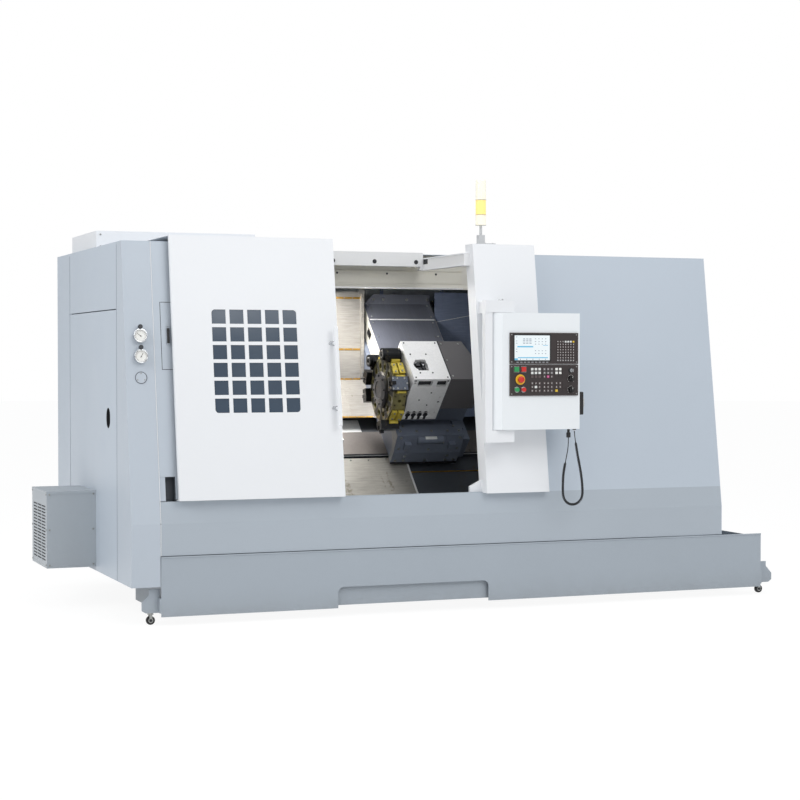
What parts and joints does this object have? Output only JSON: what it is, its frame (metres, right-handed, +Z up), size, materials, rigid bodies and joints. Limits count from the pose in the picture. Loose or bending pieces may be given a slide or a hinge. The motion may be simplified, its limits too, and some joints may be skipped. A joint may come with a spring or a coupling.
{
  "type": "slant bed turning lathe",
  "caption": "Slant bed lathe cell: enclosed cabin with a sliding door, chuck, indexing turret, tailstock, swinging control pendant and a coolant tank on casters.",
  "frame": {"origin": "on the floor, below the middle of the machine's bounding box", "axes": "+X right along the spindle towards the tailstock, +Y to the machine's back, +Z up"},
  "size_m": [4.812, 2.564, 2.796],
  "materials": {
    "panel_grey": "fine textured satin",
    "body_white": "fine textured satin",
    "band_blue_grey": "satin",
    "casting_grey": "satin over cast iron",
    "frame_beige": "satin",
    "bright_sheet": "brushed sheet",
    "machined_steel": "turned and ground",
    "saddle_steel": "machined casting",
    "holder_black": "black oxide",
    "chrome_plate": "polished",
    "window_glass": "smoked clear",
    "pendant_white": "satin",
    "panel_dark": "matte",
    "black_plastic": "matte",
    "green_plastic": "gloss",
    "red_plastic": "gloss",
    "grey_plastic": "gloss",
    "amber_lens": "gloss translucent",
    "pale_lens": "gloss translucent",
    "black_rubber": "matte"
  },
  "bodies": {
    "machine": {"bed_casting": "casting_grey", "levelling_feet": "machined_steel", "headstock_casting": "casting_grey", "left_end_cover": "panel_grey", "left_front_cover": "panel_grey", "side_upper_panel": "panel_grey", "side_lower_panel": "panel_grey", "rear_shell": "panel_grey", "right_shell": "panel_grey", "lower_front_band": "band_blue_grey", "front_column": "body_white", "roof_frame": "frame_beige", "roof_sheets": "panel_grey", "roof_box": "panel_grey", "work_area_liner": "bright_sheet", "pendant_bracket": "body_white", "signal_base": "grey_plastic", "signal_lens_amber": "amber_lens", "signal_lens_clear": "pale_lens", "gauge_cases": "chrome_plate", "side_unit_shell": "panel_grey"},
    "sliding_door": {"door_panel": "body_white", "door_glass": "window_glass", "door_handle": "body_white"},
    "pendant": {"pendant_box": "pendant_white", "display_unit": "panel_dark", "operator_unit": "panel_dark", "handwheel_unit": "black_plastic", "handwheel_cord": "black_rubber", "cord_plug": "grey_plastic"},
    "start": {"start_button": "green_plastic"},
    "halt": {"halt_button": "red_plastic"},
    "power_on": {"power_on_button": "green_plastic"},
    "power_off": {"power_off_button": "red_plastic"},
    "emergency_stop": {"stop_button": "red_plastic"},
    "key": {"key_switch": "chrome_plate"},
    "feed": {"feed_knob": "black_plastic"},
    "speed": {"speed_knob": "black_plastic"},
    "dial": {"handwheel_dial": "grey_plastic"},
    "spindle": {"spindle": "machined_steel", "chuck_body": "machined_steel"},
    "jaw_1": {"chuck_jaw_1": "machined_steel"},
    "jaw_2": {"chuck_jaw_2": "machined_steel"},
    "jaw_3": {"chuck_jaw_3": "machined_steel"},
    "carriage": {"saddle": "saddle_steel", "saddle_apron": "saddle_steel", "cross_slide_covers": "bright_sheet"},
    "cross_slide": {"cross_slide": "saddle_steel", "turret_housing": "saddle_steel", "turret_drive_housing": "saddle_steel"},
    "turret": {"turret_disc": "machined_steel", "tool_holders": "holder_black"},
    "tailstock": {"tailstock_body": "casting_grey"},
    "quill": {"tailstock_quill": "machined_steel"},
    "rear_door": {"rear_door": "panel_grey"},
    "tank": {"tank_tray": "band_blue_grey"},
    "left_caster": {"caster_fork_left": "machined_steel"},
    "left_wheel": {"caster_wheel_left": "black_rubber"},
    "right_caster": {"caster_fork_right": "machined_steel"},
    "right_wheel": {"caster_wheel_right": "black_rubber"}
  },
  "joints": [
    {"name": "door_slide", "type": "slide", "parent": "machine", "child": "sliding_door", "axis": [1, 0, 0], "range_m": [0, 0.963]},
    {"name": "pendant_swing", "type": "hinge", "parent": "machine", "child": "pendant", "pos_m": [0.275, -1.178, 1.163], "axis": [0, 0, 1], "range_deg": [-90, 0]},
    {"name": "start_press", "type": "slide", "parent": "pendant", "child": "start", "axis": [0, 1, 0], "range_m": [0, 0.004], "stiffness_N_per_m": 600},
    {"name": "halt_press", "type": "slide", "parent": "pendant", "child": "halt", "axis": [0, 1, 0], "range_m": [0, 0.004], "stiffness_N_per_m": 600},
    {"name": "power_on_press", "type": "slide", "parent": "pendant", "child": "power_on", "axis": [0, 1, 0], "range_m": [0, 0.004], "stiffness_N_per_m": 600},
    {"name": "power_off_press", "type": "slide", "parent": "pendant", "child": "power_off", "axis": [0, 1, 0], "range_m": [0, 0.004], "stiffness_N_per_m": 600},
    {"name": "stop_press", "type": "slide", "parent": "pendant", "child": "emergency_stop", "axis": [0, 1, 0], "range_m": [0, 0.005]},
    {"name": "key_turn", "type": "hinge", "parent": "pendant", "child": "key", "pos_m": [0.738, -1.246, 1.541], "axis": [0, -1, 0], "range_deg": [-90, 0]},
    {"name": "feed_turn", "type": "hinge", "parent": "pendant", "child": "feed", "pos_m": [0.738, -1.246, 1.488], "axis": [0, -1, 0], "range_deg": [-135, 135]},
    {"name": "speed_turn", "type": "hinge", "parent": "pendant", "child": "speed", "pos_m": [0.738, -1.246, 1.417], "axis": [0, -1, 0], "range_deg": [-135, 135]},
    {"name": "dial_turn", "type": "hinge", "parent": "pendant", "child": "dial", "pos_m": [0.836, -1.187, 1.328], "axis": [1, 0, 0], "continuous": true},
    {"name": "spindle_turn", "type": "hinge", "parent": "machine", "child": "spindle", "pos_m": [-0.765, -0.388, 1.153], "axis": [1, 0, 0], "continuous": true},
    {"name": "jaw_1_slide", "type": "slide", "parent": "spindle", "child": "jaw_1", "axis": [0, 0, 1], "range_m": [-0.01, 0.01]},
    {"name": "jaw_2_slide", "type": "slide", "parent": "spindle", "child": "jaw_2", "axis": [0, -0.866, -0.5], "range_m": [-0.01, 0.01]},
    {"name": "jaw_3_slide", "type": "slide", "parent": "spindle", "child": "jaw_3", "axis": [0, 0.866, -0.5], "range_m": [-0.01, 0.01]},
    {"name": "carriage_slide", "type": "slide", "parent": "machine", "child": "carriage", "axis": [1, 0, 0], "range_m": [-0.2, 0.4]},
    {"name": "cross_slide_travel", "type": "slide", "parent": "carriage", "child": "cross_slide", "axis": [0, 0.7071, 0.7071], "range_m": [-0.07, 0.25]},
    {"name": "turret_index", "type": "hinge", "parent": "cross_slide", "child": "turret", "pos_m": [-0.14, -0.13698, 1.40402], "axis": [1, 0, 0], "continuous": true},
    {"name": "tailstock_slide", "type": "slide", "parent": "machine", "child": "tailstock", "axis": [1, 0, 0], "range_m": [-0.3, 0]},
    {"name": "quill_slide", "type": "slide", "parent": "tailstock", "child": "quill", "axis": [1, 0, 0], "range_m": [-0.12, 0]},
    {"name": "rear_door_hinge", "type": "hinge", "parent": "machine", "child": "rear_door", "pos_m": [0.386, 1.268, 0.56], "axis": [0, 0, 1], "range_deg": [0, 110]},
    {"name": "tank_slide", "type": "slide", "parent": "machine", "child": "tank", "axis": [0, -1, 0], "range_m": [0, 0.7]},
    {"name": "left_swivel", "type": "hinge", "parent": "tank", "child": "left_caster", "pos_m": [-1.949, -0.938, 0.078], "axis": [0, 0, 1], "continuous": true},
    {"name": "left_wheel_roll", "type": "hinge", "parent": "left_caster", "child": "left_wheel", "pos_m": [-1.949, -0.938, 0.027], "axis": [0, 1, 0], "continuous": true},
    {"name": "right_swivel", "type": "hinge", "parent": "tank", "child": "right_caster", "pos_m": [2.339, -0.938, 0.078], "axis": [0, 0, 1], "continuous": true},
    {"name": "right_wheel_roll", "type": "hinge", "parent": "right_caster", "child": "right_wheel", "pos_m": [2.339, -0.938, 0.027], "axis": [0, 1, 0], "continuous": true}
  ],
  "couplings": [
    {"joint": "jaw_2_slide", "follows": "jaw_1_slide", "ratio": 1},
    {"joint": "jaw_3_slide", "follows": "jaw_1_slide", "ratio": 1}
  ]
}
